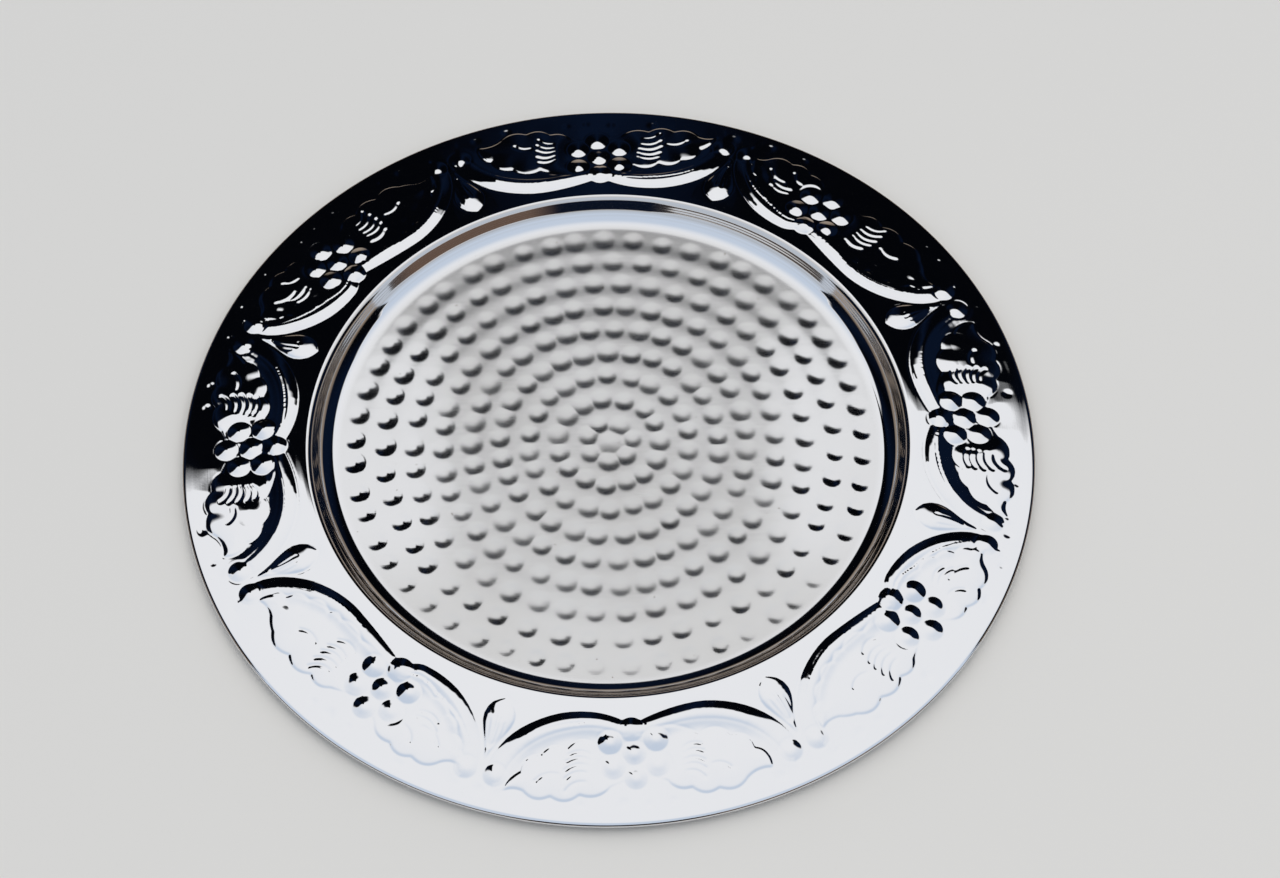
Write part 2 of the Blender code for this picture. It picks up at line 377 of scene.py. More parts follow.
def ribbon(x, y, side, cluster):
    """The ribbon that runs from a ball along the well side of a leaf to the grapes.

    Returns its height, the distance outside it, and the distance from its sharp edge.
    """
    t = np.radians(np.linspace(90, 0, 14))
    drop = BALL_RING - RIBBON_LOW_RING
    degrees = side * (RIBBON_LOW_ANGLE + (BALL_ANGLE - RIBBON_LOW_ANGLE) * np.sin(t))
    rings = BALL_RING - drop * np.cos(t)
    end = cluster + side * RIBBON_END_ANGLE
    u = np.linspace(0, 1, 7)[1:]
    degrees = np.append(degrees, side * RIBBON_LOW_ANGLE + (end - side * RIBBON_LOW_ANGLE) * u)
    rings = np.append(rings, RIBBON_LOW_RING + RIBBON_END_CLIMB * u ** 2)
    px, py = local_xy(degrees, rings)
    d, s = polyline_distance(x, y, px, py)
    half = np.interp(s, *RIBBON_HALF)
    shares = np.linspace(0, 1, len(px))
    gx, gy = np.interp(s, shares, px), np.interp(s, shares, py)
    hollow_x, hollow_y = local_xy(side * RIBBON_HOLLOW[0], RIBBON_HOLLOW[1])
    outward = np.hypot(x - hollow_x, y - hollow_y) < np.hypot(gx - hollow_x, gy - hollow_y)
    w = np.where(outward, d, -d) / half
    rise = np.clip((w + 1) / (1 + RIBBON_CREST), 0, 1)
    inner = 0.5 * rise + 0.5 * np.sin(math.pi / 2 * rise)
    beyond = (w - RIBBON_CREST) * half / RIBBON_FALL
    run = np.clip(1 - beyond, 0, 1)
    outer = run * run * (3 - 2 * run)
    body = RIBBON_H * np.interp(s, *RIBBON_RISE) * np.where(w < RIBBON_CREST, inner, outer)
    line_at, line_half, line_depth = RIBBON_LINE
    body = body - line_depth * np.exp(-((w - line_at) * half / line_half) ** 2)
    distance = np.where(w < 0, (-w - 1) * half, (beyond - 1) * RIBBON_FALL)
    sharp_edge = np.where(w < 0, distance, RIBBON_FALL)
    return np.where(distance < 0, np.maximum(body, 0), 0.0), distance, sharp_edge


def bud(x, y):
    """Height of the small pointed leaf between two units, and the distance outside it."""
    foot, tip = BUD_RINGS[0], BUD_RINGS[-1]
    fine = np.linspace(foot, tip, 40)
    width = np.interp(fine, BUD_RINGS, BUD_HALF)
    px, py = local_xy(np.append(width, -width[::-1]), np.append(fine, fine[::-1]))
    d, _ = polyline_distance(x, y, np.append(px, px[0]), np.append(py, py[0]))
    within = inside(x, y, px, py)
    ring = np.hypot(x, y) / PLATE_R
    rise = np.clip((ring - foot) / (BUD_TOP_RING - foot), 0, 1)
    fall = np.clip((ring - BUD_TOP_RING) / (tip - BUD_TOP_RING), 0, 1)
    along = 0.5 * rise + 0.5 * np.sin(math.pi / 2 * rise) - BUD_TAIL * fall
    body = BUD_EDGE * (1 - np.exp(-d / BUD_EDGE_SOFT)) + BUD_H * along * (1 - np.exp(-d / BUD_SIDE))
    for offset, low, high, depth in BUD_VEINS:
        u = np.linspace(0, 1, 6)
        degrees = offset * (1 - 0.7 * u ** 2) + .2 * np.sin(3 * u)   # they close up at the tip
        vx, vy = local_xy(degrees, low + (high - low) * u)
        dv, _ = polyline_distance(x, y, vx, vy)
        body = body - depth * np.exp(-(dv / BUD_VEIN_HALF) ** 2)
    return np.where(within, np.maximum(body, 0), 0), np.where(within, -d, d)


def blurred(h, sigma):
    """Gaussian blur of a (rows, columns) field; columns wrap round the plate."""
    reach = int(math.ceil(3 * sigma))
    weights = np.exp(-0.5 * (np.arange(-reach, reach + 1) / sigma) ** 2)
    weights /= weights.sum()
    padded = np.pad(h, ((reach, reach), (0, 0)), mode="edge")
    h = sum(w * padded[i:i + h.shape[0]] for i, w in enumerate(weights))
    return sum(w * np.roll(h, i - reach, axis=1) for i, w in enumerate(weights))


def border_relief(radii):
    """Height of the embossing over the plain rim, as (rows, columns)."""
    columns = np.arange(RIM_COLUMNS) * 360.0 / RIM_COLUMNS
    height = np.zeros((len(radii), RIM_COLUMNS))
    outside = np.full(height.shape, 1e9)
    crease = np.zeros(height.shape)
    dents = np.zeros(height.shape)

    def block(middle, reach, stretch=1.0):
        """Columns within reach degrees of middle, and their local x and y."""
        degrees = ((columns - middle + 180) % 360 - 180) * stretch
        chosen = np.abs(degrees) < reach
        a, r = np.meshgrid(degrees[chosen], radii / PLATE_R)
        return chosen, *local_xy(a, r)

    def lay(chosen, form, distance, edge=None, covers=None, adds=False):
        """Add one pressed shape; a fruit of radius covers smooths away what it sits on."""
        h, c = height[:, chosen], crease[:, chosen]
        edge = distance if edge is None else edge
        if covers:
            over = np.clip(-distance / covers, 0.0, 1.0)
            keep = (1 - over) ** 2
            h = np.where(distance < 0, h * keep + form + FRUIT_BASE * (1 - keep), h)
            c = np.where(distance < 0, 0.0, c)
        height[:, chosen] = np.where(distance < 0, h + form if adds else np.maximum(h, form), h)
        crease[:, chosen] = np.maximum(c, np.exp(-(edge / CREASE_HALF) ** 2))
        outside[:, chosen] = np.minimum(outside[:, chosen], distance)

    ends = (*PAIR_ANGLES[1:], PAIR_ANGLES[0] + 360)
    for k, (start, stop) in enumerate(zip(PAIR_ANGLES, ends)):
        chosen, x, y = block((start + stop) / 2, UNIT_REACH, UNIT_PITCH / (stop - start))
        kind = k % 2
        cluster = CLUSTER_SHIFT[kind] + rng.uniform(-CLUSTER_JITTER, CLUSTER_JITTER)
        gx, gy = local_xy(cluster, CLUSTER_RING)
        for side in (-1, 1):
            lay(chosen, *ribbon(x, y, side, cluster))
        for cusps, veins in zip(LEAVES[kind], VEINS[kind]):
            lay(chosen, *leaf(x, y, cusps, veins, gx, gy), adds=True)
        for side in (-1, 1):
            bx, by = local_xy(side * BALL_ANGLE, BALL_RING)
            lay(chosen, *fruit(x, y, bx, by, BALL_R, BALL_H, BALL_CAP), covers=BALL_R)
        for turn, lift, capped in GRAPES:
            reach = 0.0 if turn is None else GRAPE_SPACING
            way = math.radians(turn or 0)
            cx = gx + reach * math.cos(way) + rng.uniform(-GRAPE_JITTER, GRAPE_JITTER)
            cy = gy + reach * math.sin(way) + rng.uniform(-GRAPE_JITTER, GRAPE_JITTER)
            radius = GRAPE_R * rng.uniform(*GRAPE_SIZES)
            lift *= rng.uniform(*GRAPE_LIFTS)
            lay(chosen, *fruit(x, y, cx, cy, radius, lift, capped), covers=GRAPE_R)
        for degrees, ring in DENTS[kind]:
            dx, dy = local_xy(degrees + rng.uniform(-DENT_JITTER, DENT_JITTER), ring)
            size = rng.uniform(*DENT_SIZES)
            if rng.random() < DENT_MISSING:
                continue
            d = np.minimum(np.hypot(x - dx, y - dy) / (DENT_R * size), 1.0)
            dent = size * (0.5 + 0.5 * np.cos(math.pi * d))
            dents[:, chosen] = np.maximum(dents[:, chosen], dent)
    for start in PAIR_ANGLES:
        chosen, x, y = block(start, BUD_REACH)
        lay(chosen, *bud(x, y))
    halo = -HALO_DEPTH * np.exp(-(outside / HALO_WIDTH) ** 2)
    field = np.where(outside > 0, halo, height - HALO_DEPTH)
    field = field - DENT_DEPTH * dents * np.clip(outside, 0, 1)
    return blurred(field - CREASE_DEPTH * crease, RELIEF_BLUR)


def rippled(x, y, wave, way, phase):
    """A plane wave of one wavelength, direction and phase."""
    return np.cos((x * math.cos(way) + y * math.sin(way)) * math.tau / wave + phase)


def waviness(radii, columns, size, longest, shortest, count):
    """Slow seeded ripples of beaten sheet, as (rows, columns)."""
    a = np.arange(columns) * math.tau / columns
    x, y = radii[:, None] * np.cos(a), radii[:, None] * np.sin(a)
    total = np.zeros((len(radii), columns))
    for _ in range(count):
        wave = rng.uniform(shortest, longest)
        way, phase = rng.uniform(0, math.tau), rng.uniform(0, math.tau)
        total += wave / longest * rippled(x, y, wave, way, phase)
    return size * total / math.sqrt(count)


# ---------------------------------------------------------------- hammered dimples
def dimple_places():
    """(x, y, radius, depth) of every hammer mark, in millimetres."""
    x, y, wider, deeper = DIMPLE_CENTRE
    marks = [(x, y, DIMPLE_R * wider, DIMPLE_DEPTH * deeper)]
    for ring, (count, start) in enumerate(zip(DIMPLE_COUNTS, DIMPLE_STARTS)):
        radius = (DIMPLE_RING_FIRST + ring * DIMPLE_RING_STEP) * PLATE_R
        for k in range(count):
            stray = rng.uniform(-DIMPLE_SPREAD, DIMPLE_SPREAD) * 360 / count
            a = math.radians(start + 360 * k / count + stray)
            r = radius + rng.uniform(-DIMPLE_STRAY, DIMPLE_STRAY)
            softer = 1 - NORTH_SOFTER * max(r * math.sin(a) / FLOOR_R, SOFTER_LEAST)
            marks.append((r * math.cos(a), r * math.sin(a), DIMPLE_R * rng.uniform(*DIMPLE_SIZES),
                          softer * DIMPLE_DEPTH * rng.uniform(*DIMPLE_DEPTHS)))
    return marks


def dimples(x, y, marks):
    """Height of the hammering, below zero, at points of the floor; marks bite into each other."""
    depth = np.zeros(x.shape)
    for mx, my, radius, deep in marks:
        near = (np.abs(x - mx) < radius) & (np.abs(y - my) < radius)
        d = np.minimum(np.hypot(x[near] - mx, y[near] - my) / radius, 1.0)
        depth[near] = np.maximum(depth[near], deep * (1 - d * d) ** 1.5)
    ring = (np.hypot(x, y) / PLATE_R - DIMPLE_RING_FIRST) / DIMPLE_RING_STEP
    hammered = np.clip(len(DIMPLE_COUNTS) - 0.5 - ring, 0.0, 1.0)
    return -depth - RING_GROOVE * hammered * (0.5 + 0.5 * np.cos(math.tau * ring))


# ---------------------------------------------------------------- mesh of the sheet
def ring_points(stations, columns, lift):
    """Vertices of one ring: station moved along its normal by lift for each column."""
    r, z, nr, nz = stations
    a = np.arange(columns) * math.tau / columns
    radius = r + nr * lift
    height = np.broadcast_to(z + nz * lift, a.shape)
    return np.stack([radius * np.cos(a), radius * np.sin(a), height], 1)


def join_rings(first, first_count, second, second_count):
    """Faces between two rings whose counts are equal or differ by a whole factor."""
    if first_count == second_count:
        i = np.arange(first_count)
        j = (i + 1) % first_count
        return [tuple(q) for q in np.stack([first + i, first + j, second + j, second + i], 1)]
    swap = first_count > second_count
    few, few_n, many, many_n = (second, second_count, first, first_count) if swap else \
        (first, first_count, second, second_count)
    step = many_n // few_n
    faces = []
    for i in range(few_n):
        a, b = few + i, few + (i + 1) % few_n
        row = [many + (i * step + k) % many_n for k in range(step + 1)]
        half = step // 2
        for k in range(half):
            faces.append((a, row[k + 1], row[k]))
        faces.append((a, b, row[half]))
        for k in range(half, step):
            faces.append((b, row[k + 1], row[k]))
    return [tuple(reversed(f)) for f in faces] if swap else faces


def build_mesh(name, rings, closed_loop=False):
    """A mesh from rings of points; the first and last may be single points.

    With each ring counter-clockwise from above, the faces look out where the rings go outwards
    along an underside or inwards along a top.
    """
    vertices, faces, starts, counts = [], [], [], []
    total = 0
    for points in rings:
        vertices.append(points)
        starts.append(total)
        counts.append(len(points))
        total += len(points)
    for k in range(len(rings) - 1):
        a, na, b, nb = starts[k], counts[k], starts[k + 1], counts[k + 1]
        if na == 1:
            faces += [(a, b + (i + 1) % nb, b + i) for i in range(nb)]
        elif nb == 1:
            faces += [(b, a + i, a + (i + 1) % na) for i in range(na)]
        else:
            faces += join_rings(a, na, b, nb)
    if closed_loop:
        faces += join_rings(starts[-1], counts[-1], starts[0], counts[0])
    mesh = bpy.data.meshes.new(name)
    mesh.from_pydata(np.vstack(vertices) * MM, [], faces)
    mesh.validate()
    mesh.shade_smooth()
    obj = bpy.data.objects.new(name, mesh)
    bpy.context.scene.collection.objects.link(obj)
    return obj


def floor_lift(radius, columns, marks, ripple):
    """How far the hammered floor stands above the plain one round one ring."""
    a = np.arange(columns) * math.tau / columns
    x, y = radius * np.cos(a), radius * np.sin(a)
    inner = min((FLOOR_R - radius) / SWELL_FADE, 1.0)
    swell = FLOOR_SWELL * inner * inner * (3 - 2 * inner)
    return swell + dimples(x, y, marks) + ripple(x, y) * inner


def make_sheet():
    """The whole pressed sheet as one closed mesh.

    Its rings are made from the middle of the top face, round the curl, to the middle of the
    underside, and joined the other way round.
    """
    marks = dimple_places()
    waves = [(rng.uniform(*FLOOR_WAVES), rng.uniform(0, math.tau), rng.uniform(0, math.tau))
             for _ in range(FLOOR_WAVE_COUNT)]

    def ripple(x, y):
        return FLOOR_RIPPLE * sum(w / FLOOR_WAVE_MIDDLE * rippled(x, y, w, way, phase)
                                  for w, way, phase in waves)

    floor, wall, rim = upper_face(0.0, FLOOR_STEP, RIM_STEP, FILLET_STEPS)
    relief = border_relief(rim[:, 0]) + waviness(rim[:, 0], RIM_COLUMNS, *RIM_WAVES)
    fade = np.minimum(rim[:, 0] - rim[0, 0], rim[-1, 0] - rim[:, 0]) / RIM_FADE
    fade = np.clip(fade, 0, 1)
    relief *= (fade * fade * (3 - 2 * fade))[:, None]
    headroom = TOP_LIMIT - TOP_CLEARANCE - rim[:, 1]
    relief = np.minimum(relief, headroom[:, None] / rim[:, 3][:, None])

    rings = [np.array([[0.0, 0.0, SHEET_T + floor_lift(0.0, 1, marks, ripple)[0]]])]
    for station in floor:
        columns = well_columns(station[0])
        rings.append(ring_points(station, columns, floor_lift(station[0], columns, marks, ripple)))
    for station in wall:
        tilt = math.degrees(math.atan2(station[2], station[3]))
        turned = min(max((-tilt - TURNED_FROM) / TURNED_FULL, 0.0), 1.0)
        ridge = turned * TURNED_RIDGE * rng.uniform(-1, 1)
        rings.append(ring_points(station, COARSE_COLUMNS, ridge))
    for station, lift in zip(rim, relief):
        rings.append(ring_points(station, RIM_COLUMNS, lift))
    top = 90 - math.degrees(rim_slope())
    end = top - CURL_WRAP
    curl = (arc_stations(CURL_X, CURL_Z, CURL_OUT, top, end, CURL_STEPS),
            arc_stations(CURL_X, CURL_Z, CURL_IN, end, top, CURL_INNER_STEPS, -1.0))
    for station in np.vstack(curl):
        rings.append(ring_points(station, COARSE_COLUMNS, 0.0))
    under_floor, under_wall, under_rim = upper_face(SHEET_T, *UNDER_STEPS)
    coarse = relief[:, ::RIM_COLUMNS // COARSE_COLUMNS]
    for station in under_rim[::-1]:
        lift = np.array([np.interp(station[0], rim[:, 0], column) for column in coarse.T])
        rings.append(ring_points(station, COARSE_COLUMNS, lift))
    for station in under_wall[::-1]:
        rings.append(ring_points(station, COARSE_COLUMNS, 0.0))
    for station in under_floor[::-1]:
        columns = well_columns(station[0])
        lift = np.maximum(floor_lift(station[0], columns, marks, ripple), 0.0)
        rings.append(ring_points(station, columns, lift))
    rings.append(np.array([[0.0, 0.0, max(floor_lift(0.0, 1, marks, ripple)[0], 0.0)]]))
    return build_mesh("pressed_sheet", rings[::-1])


def make_wire():
    """The round wire in the curl."""
    rings = []
    for t in np.arange(WIRE_SIDES) * math.tau / WIRE_SIDES:
        station = (CURL_X + WIRE_R * math.cos(t), CURL_Z + WIRE_R * math.sin(t), 0, 0)
        rings.append(ring_points(station, WIRE_COLUMNS, 0.0))
    return build_mesh("round_edge_wire", rings, closed_loop=True)


# ---------------------------------------------------------------- materials
class Nodes:
    """Small helper that adds nodes and links to one material."""

    def __init__(self, name):
        self.material = bpy.data.materials.new(name)
        self.material.use_nodes = True
        self.tree = self.material.node_tree
        self.shader = self.tree.nodes["Principled BSDF"]

    def add(self, kind, **settings):
        node = self.tree.nodes.new(kind)
        for key, value in settings.items():
            setattr(node, key, value)
        return node

    def link(self, source, target):
        self.tree.links.new(source, target)

    def math(self, operation, a, b=None, clamp=False):
        node = self.add("ShaderNodeMath", operation=operation, use_clamp=clamp)
        for socket, value in zip(node.inputs, (a, b)):
            if isinstance(value, (int, float)):
                socket.default_value = value
            elif value is not None:
                self.link(value, socket)
        return node.outputs[0]

    def ramp(self, value, low, high, to_low=0.0, to_high=1.0):
        node = self.add("ShaderNodeMapRange", interpolation_type="SMOOTHSTEP")
        self.link(value, node.inputs["Value"])
        ends = {"From Min": low, "From Max": high, "To Min": to_low, "To Max": to_high}
        for key, number in ends.items():
            node.inputs[key].default_value = number
        return node.outputs["Result"]

    def noise(self, vector, scale, detail, roughness):
        node = self.add("ShaderNodeTexNoise")
        self.link(vector, node.inputs["Vector"])
        node.inputs["Scale"].default_value = scale
        node.inputs["Detail"].default_value = detail
        node.inputs["Roughness"].default_value = roughness
        return node.outputs["Fac"]

    def stretched(self, vector, scale):
        node = self.add("ShaderNodeMapping")
        self.link(vector, node.inputs["Vector"])
        node.inputs["Scale"].default_value = scale
        return node.outputs["Vector"]

    def blend(self, under, over, share):
        """Mix of a colour or a colour output with a colour, by a share from 0 to 1."""
        node = self.add("ShaderNodeMix", data_type="RGBA")
        if isinstance(under, tuple):
            node.inputs["A"].default_value = (*under, 1)
        else:
            self.link(under, node.inputs["A"])
        node.inputs["B"].default_value = (*over, 1)
        self.link(share, node.inputs["Factor"])
        return node.outputs["Result"]


# Radii and places of the finishes, in metres: where each ramp starts and ends.
SATIN_END = (0.1035, 0.1085)
WALL_START = (0.110, 0.113)
WALL_END = (0.1155, 0.117)
SHEEN_SIDES_ACROSS = (0.050, 0.078)     # the floor is smoother, and painted lighter as a painted sheen, at its -X and +X sides
SHEEN_SIDES_ALONG = (0.035, 0.080)
OUTER_FLOOR = (0.070, 0.095)       # and a little smoother in its outer part towards -Y
NEAR_SIDE = (-0.02, 0.03)
RIM_COLOUR = (0.80, 0.805, 0.82)
FLOOR_COLOUR = (0.60, 0.592, 0.58)
# painted reflection: the wall's darker brown tint stands for brown and dark surroundings seen in it
WALL_PAINTED_BROWN = (0.60, 0.55, 0.50)
SPOT_COLOUR = (0.30, 0.26, 0.22)
MIRROR_ROUGH, LEAST_ROUGH = 0.018, 0.012
SATIN_ROUGH, OUTER_LESS, SIDES_SMOOTHER = 0.22, 0.09, 0.11
WALL_ROUGH, CLOUD_ROUGH, GRAIN_ROUGH = 0.06, 0.03, 0.16
PAINTED_SHEEN_SHARE = 0.6                 # how much of the floor's own colour is lifted at those sides, a painted sheen
SPOT_STRENGTH = 0.7
BUMP_STRENGTH, BUMP_DISTANCE = 0.25, 0.00006
BUMP_LINES_REST, BUMP_GRAIN, BUMP_FINE = 0.12, 0.5, 0.04
WIRE_COLOUR = (0.50, 0.50, 0.51)
WIRE_ROUGH = (0.28, 0.5)


def steel_sheet():
    """Mirror rim, turned wall and satin grained floor: one metal with three finishes; the wall's
    brown tint is a painted reflection and the floor's lighter sides a painted sheen.
    """
    n = Nodes("polished_pressed_steel")
    place = n.add("ShaderNodeTexCoord").outputs["Object"]
    split = n.add("ShaderNodeSeparateXYZ")
    n.link(place, split.inputs[0])
    flat = n.add("ShaderNodeCombineXYZ")
    n.link(split.outputs[0], flat.inputs[0])
    n.link(split.outputs[1], flat.inputs[1])
    length = n.add("ShaderNodeVectorMath", operation="LENGTH")
    n.link(flat.outputs[0], length.inputs[0])
    radius = length.outputs["Value"]

    # where each finish is, 0 to 1
    satin = n.ramp(radius, *SATIN_END, 1.0, 0.0)
    wall = n.math("MULTIPLY", n.ramp(radius, *WALL_START), n.ramp(radius, *WALL_END, 1.0, 0.0))
    across = n.math("ABSOLUTE", split.outputs[0])
    along = n.math("ABSOLUTE", split.outputs[1])
    # sides of the floor: less roughness there, and a lighter colour that is a painted sheen
    smooth_and_sheen_sides = n.math("MULTIPLY", n.ramp(across, *SHEEN_SIDES_ACROSS),
                    n.ramp(along, *SHEEN_SIDES_ALONG, 1.0, 0.0))
    near = n.ramp(split.outputs[1], *NEAR_SIDE, 1.0, 0.0)
    outer = n.math("MULTIPLY", n.ramp(radius, *OUTER_FLOOR), near)

    # straight sheet grain, turned polishing lines and cloudy wear
    grain = n.noise(n.stretched(place, (60.0, 2600.0, 200.0)), 1.0, 4.0, 0.6)
    outwards = n.add("ShaderNodeCombineXYZ")
    n.link(radius, outwards.inputs[0])
    turned = n.noise(n.stretched(outwards.outputs[0], (1100.0, 1.0, 1.0)), 1.0, 2.0, 0.6)
    cloud = n.noise(place, 22.0, 4.0, 0.55)
    fine = n.noise(place, 900.0, 2.0, 0.5)
    speck = n.ramp(n.noise(place, 420.0, 2.0, 0.5), 0.74, 0.80)

    worn = n.math("SUBTRACT", SATIN_ROUGH, n.math("MULTIPLY", outer, OUTER_LESS))
    worn = n.math("SUBTRACT", worn, n.math("MULTIPLY", smooth_and_sheen_sides, SIDES_SMOOTHER), clamp=True)
    rough = n.math("ADD", MIRROR_ROUGH, n.math("MULTIPLY", satin, worn))
    rough = n.math("ADD", rough, n.math("MULTIPLY", wall, WALL_ROUGH))
    clouded = n.math("MULTIPLY", n.math("SUBTRACT", cloud, 0.5), CLOUD_ROUGH)
    rough = n.math("ADD", rough, clouded)
    grained = n.math("MULTIPLY", n.math("SUBTRACT", grain, 0.5),
                     n.math("MULTIPLY", satin, GRAIN_ROUGH))
    rough = n.math("ADD", rough, grained, clamp=True)
    n.link(n.math("MAXIMUM", rough, LEAST_ROUGH), n.shader.inputs["Roughness"])

    uneven = n.ramp(n.noise(place, 14.0, 5.0, 0.6), 0.3, 0.8, 0.7, 1.0)
    # painted sheen: less of the floor's darker colour at its -X and +X sides
    outside_painted_sheen = n.math("SUBTRACT", 1.0, n.math("MULTIPLY", smooth_and_sheen_sides, PAINTED_SHEEN_SHARE))
    floor_share = n.math("MULTIPLY", n.math("MULTIPLY", satin, uneven), outside_painted_sheen)
    # painted reflection: darker brown tint over the wall, streaked along the turned lines
    wall_painted_brown_share = n.math("MULTIPLY", wall, n.ramp(turned, 0.35, 0.65, 0.1, 1.0))
    spot_share = n.math("MULTIPLY", speck, n.math("MULTIPLY", satin, SPOT_STRENGTH))
    colour = n.blend(RIM_COLOUR, FLOOR_COLOUR, floor_share)
    colour = n.blend(colour, WALL_PAINTED_BROWN, wall_painted_brown_share)
    colour = n.blend(colour, SPOT_COLOUR, spot_share)
    n.link(colour, n.shader.inputs["Base Color"])
    n.shader.inputs["Metallic"].default_value = 1.0

    lines = n.math("MULTIPLY", turned, n.math("ADD", wall, BUMP_LINES_REST))
    grooves = n.math("MULTIPLY", grain, n.math("MULTIPLY", satin, BUMP_GRAIN))
    relief = n.math("ADD", n.math("ADD", lines, grooves), n.math("MULTIPLY", fine, BUMP_FINE))
    bump = n.add("ShaderNodeBump")
    bump.inputs["Strength"].default_value = BUMP_STRENGTH
    bump.inputs["Distance"].default_value = BUMP_DISTANCE
    n.link(relief, bump.inputs["Height"])
    n.link(bump.outputs["Normal"], n.shader.inputs["Normal"])
    return n.material


def wire_steel():
    """Dull drawn wire with draw marks."""
    n = Nodes("drawn_wire")
    place = n.add("ShaderNodeTexCoord").outputs["Object"]
    marks = n.noise(n.stretched(place, (300.0, 300.0, 3000.0)), 1.0, 4.0, 0.6)
    n.link(n.ramp(marks, 0.3, 0.7, *WIRE_ROUGH), n.shader.inputs["Roughness"])
    n.shader.inputs["Base Color"].default_value = (*WIRE_COLOUR, 1)
    n.shader.inputs["Metallic"].default_value = 1.0
    return n.material


# ---------------------------------------------------------------- studio
SKY_WHITE = (0.98, 0.985, 1.0)
SKY_BLUE = (0.65, 0.735, 0.86)
SKY_BRIGHTEST = (0.0, 0.5, 0.866)
SKY_SPAN = (0.68, 1.03)    # closeness to the brightest point over which blue turns to white
SKY_PATCHES = 0.06
HORIZON_GLOW = (0.44, 0.36, 0.29)
GLOW_TOP = 13.0            # elevation in degrees up to which the horizon glows
BLACK, NAVY = (0.0012, 0.0016, 0.0028), (0.003, 0.007, 0.020)
BROWN, GREY = (0.17, 0.115, 0.09), (0.07, 0.06, 0.056)
# Skylines: compass degrees from +Y towards +X, elevation of the top, degrees of fading, colour.
NORTH_SKYLINE = (
    (-100, 32, 3, BLACK), (-84, 49, 3, NAVY), (-60, 52.5, 2.5, BLACK), (-40, 52, 2.5, NAVY),
    (-31, 53.7, 1.2, BLACK), (-27, 57.5, 1.2, BLACK), (-23, 57.5, 1.2, BLACK),
    (-18, 52, 2.5, BLACK), (-9, 51.4, 3, BLACK), (0, 51.2, 4, NAVY), (9, 51.4, 3, BLACK),
    (20, 51.5, 1.2, BLACK), (26, 51.2, 1.2, BLACK), (42, 52, 2.5, NAVY), (60, 52, 2.5, NAVY),
    (84, 47, 3, BLACK), (98, 32, 3, BLACK))
SOUTH_SKYLINE = (
    (105, 8, 3, GREY), (115, 18, 4, BROWN), (156, 21, 4, BROWN), (165, 26, 3, NAVY),
    (195, 26, 3, NAVY), (203, 14, 4, GREY), (256, 8, 3, GREY))
SCREEN_R = 3.0             # metres from the plate's axis, and the steps of its mesh
SCREEN_TURN = 2
SCREEN_ROWS = 40
GROUND_COLOUR = (0.12, 0.09, 0.07)
GROUND_GAP = 0.012         # metres between the plate and the dark ring round it
GROUND_END = 2.9
GROUND_LIFT = 0.0005
GROUND_STEPS = 64
PALE_FLOOR = (0.74, 0.69, 0.62)
FLOOR_ROUGH = 0.9
FLOOR_HALF = 15.0
SOFTBOX_PLACE = (0.5, -0.4, 2.2)
SOFTBOX_SIZE = (2.4, 2.0)
SOFTBOX_POWER = 12


def new_object(name, points, faces, material):
    mesh = bpy.data.meshes.new(name)
    mesh.from_pydata(points, [], faces)
    mesh.materials.append(material)
    obj = bpy.data.objects.new(name, mesh)
    bpy.context.scene.collection.objects.link(obj)
    return obj


def pale_floor():
    n = Nodes("pale_floor")
    n.shader.inputs["Base Color"].default_value = (*PALE_FLOOR, 1)
    n.shader.inputs["Roughness"].default_value = FLOOR_ROUGH
    h = FLOOR_HALF
    corners = [(-h, -h, 0), (h, -h, 0), (h, h, 0), (-h, h, 0)]
    new_object("floor", corners, [(0, 1, 2, 3)], n.material)


def glowing_cloth(name):
    """A black material that only gives off light; the caller sets its colour."""
    n = Nodes(name)
    n.shader.inputs["Base Color"].default_value = (0, 0, 0, 1)
    n.shader.inputs["Specular IOR Level"].default_value = 0.0
    n.shader.inputs["Emission Strength"].default_value = 1.0
    return n


def seen_in_metal_only(card):
    card.visible_camera = False
    card.visible_diffuse = False
    card.visible_shadow = False
    card.visible_transmission = False


def screen(name, skyline, glow=None):
    """A curved upright flag round the plate, seen only in the metal, that fades out at its top.

    glow is the colour of a pale strip along its foot.
    """
    azimuths, tops, fades, colours = zip(*skyline)
    fine = np.arange(azimuths[0], azimuths[-1] + 0.1, SCREEN_TURN)
    rows = SCREEN_ROWS
    points, tones = [], []
    for a in fine:
        top, fade = np.interp(a, azimuths, tops), np.interp(a, azimuths, fades)
        colour = [np.interp(a, azimuths, channel) for channel in zip(*colours)]
        x, y = SCREEN_R * math.sin(math.radians(a)), SCREEN_R * math.cos(math.radians(a))
        for row in range(rows + 1):
            elevation = top * (row / rows) ** 0.6
            t = min(max((elevation - top + fade) / fade, 0.0), 1.0)
            t = t * t * (3 - 2 * t)
            lit = max(1 - elevation / GLOW_TOP, 0.0) ** 0.5 if glow else 0.0
            shade = [c + (g - c) * lit for c, g in zip(colour, glow or colour)]
            points.append((x, y, SCREEN_R * math.tan(math.radians(elevation))))
            tones += [c + (w - c) * t for c, w in zip(shade, SKY_WHITE)] + [1.0]
    corners = [i * (rows + 1) + j for i in range(len(fine) - 1) for j in range(rows)]
    faces = [(c, c + rows + 1, c + rows + 2, c + 1) for c in corners]
    n = glowing_cloth(name + "_cloth")
    read = n.add("ShaderNodeVertexColor", layer_name="tone")
    n.link(read.outputs["Color"], n.shader.inputs["Emission Color"])
    card = new_object(name, points, faces, n.material)
    tone = card.data.color_attributes.new("tone", "FLOAT_COLOR", "POINT")
    tone.data.foreach_set("color", tones)
    seen_in_metal_only(card)


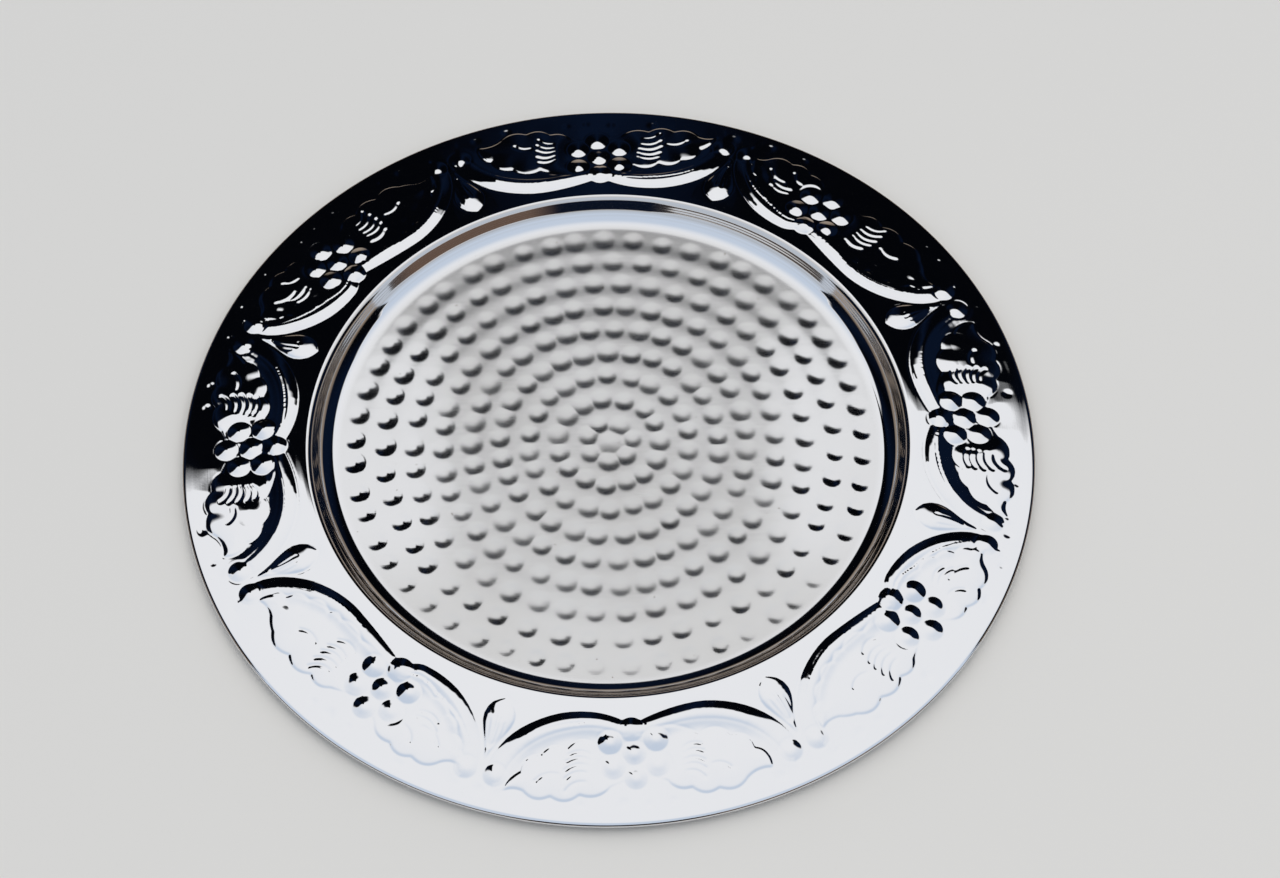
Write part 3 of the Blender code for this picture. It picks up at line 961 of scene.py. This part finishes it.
def ground_flag():
    """A dark ring on the floor beyond the plate, seen only in the metal."""
    steps = GROUND_STEPS
    turns = np.arange(steps) * math.tau / steps
    points = [(radius * math.cos(t), radius * math.sin(t), GROUND_LIFT)
              for radius in (PLATE_R * MM + GROUND_GAP, GROUND_END) for t in turns]
    faces = [(k, (k + 1) % steps, steps + (k + 1) % steps, steps + k) for k in range(steps)]
    n = glowing_cloth("ground_flag_cloth")
    n.shader.inputs["Emission Color"].default_value = (*GROUND_COLOUR, 1)
    seen_in_metal_only(new_object("ground_flag", points, faces, n.material))


def make_sky():
    """A pale overcast dome, brightest high in the north, with soft patches."""
    world = bpy.data.worlds.new("studio")
    bpy.context.scene.world = world
    world.use_nodes = True
    tree = world.node_tree
    background = tree.nodes["Background"]
    place = tree.nodes.new("ShaderNodeTexCoord")
    toward = tree.nodes.new("ShaderNodeVectorMath")
    toward.operation = "DOT_PRODUCT"
    toward.inputs[1].default_value = SKY_BRIGHTEST
    noise = tree.nodes.new("ShaderNodeTexNoise")
    noise.inputs["Scale"].default_value = 3.0
    noise.inputs["Detail"].default_value = 2.0
    patch = tree.nodes.new("ShaderNodeMath")
    patch.operation = "MULTIPLY_ADD"
    patch.inputs[1].default_value = SKY_PATCHES
    span = tree.nodes.new("ShaderNodeMapRange")
    span.interpolation_type = "SMOOTHSTEP"
    span.inputs["From Min"].default_value, span.inputs["From Max"].default_value = SKY_SPAN
    mix = tree.nodes.new("ShaderNodeMix")
    mix.data_type = "RGBA"
    mix.inputs["A"].default_value = (*SKY_BLUE, 1)
    mix.inputs["B"].default_value = (*SKY_WHITE, 1)
    tree.links.new(place.outputs["Generated"], noise.inputs["Vector"])
    tree.links.new(place.outputs["Generated"], toward.inputs[0])
    tree.links.new(noise.outputs["Fac"], patch.inputs[0])
    tree.links.new(toward.outputs["Value"], patch.inputs[2])
    tree.links.new(patch.outputs[0], span.inputs["Value"])
    tree.links.new(span.outputs["Result"], mix.inputs["Factor"])
    tree.links.new(mix.outputs["Result"], background.inputs["Color"])
    background.inputs["Strength"].default_value = 1.0


def make_studio():
    pale_floor()
    screen("flag_north", NORTH_SKYLINE, HORIZON_GLOW)
    screen("flag_south", SOUTH_SKYLINE)
    ground_flag()
    make_sky()
    light = bpy.data.lights.new("softbox", "AREA")
    light.shape = "RECTANGLE"
    light.size, light.size_y = SOFTBOX_SIZE
    light.energy = SOFTBOX_POWER
    lamp = bpy.data.objects.new("softbox", light)
    lamp.location = SOFTBOX_PLACE
    lamp.rotation_euler = (-lamp.location).to_track_quat("-Z", "Y").to_euler()
    lamp.visible_glossy = False
    bpy.context.scene.collection.objects.link(lamp)


CAMERA_AWAY = 5.9196       # distance from the middle of the rolled edge's plane, in PLATE_R
CAMERA_UP = 56.43          # degrees above that plane
CAMERA_YAW = 0.0222        # radians towards +X, and below the level
CAMERA_DOWN = 0.9857
CAMERA_LENS = 70.7175
CAMERA_SENSOR = 36.0


def make_camera():
    """The viewing angle of the reference: from -Y, well above the plate, slightly to one side."""
    distance = CAMERA_AWAY * PLATE_R * MM
    elevation = math.radians(CAMERA_UP)
    camera = bpy.data.cameras.new("camera")
    camera.sensor_width = CAMERA_SENSOR
    camera.lens = CAMERA_LENS
    obj = bpy.data.objects.new("camera", camera)
    height = distance * math.sin(elevation) + CURL_Z * MM
    obj.location = (0, -distance * math.cos(elevation), height)
    level = math.cos(CAMERA_DOWN)
    forward = Vector((math.sin(CAMERA_YAW) * level, math.cos(CAMERA_YAW) * level,
                      -math.sin(CAMERA_DOWN)))
    obj.rotation_euler = forward.to_track_quat("-Z", "Y").to_euler()
    bpy.context.scene.collection.objects.link(obj)
    bpy.context.scene.camera = obj


def main():
    make_camera()
    make_studio()
    sheet = make_sheet()
    sheet.data.materials.append(steel_sheet())
    wire = make_wire()
    wire.data.materials.append(wire_steel())
    for piece, node, slot in ((sheet, "plate_sheet", "sheet"), (wire, "edge_wire", "wire")):
        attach(piece, "root")
        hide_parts(node)
    bpy.context.scene.view_settings.view_transform = "Standard"


main()
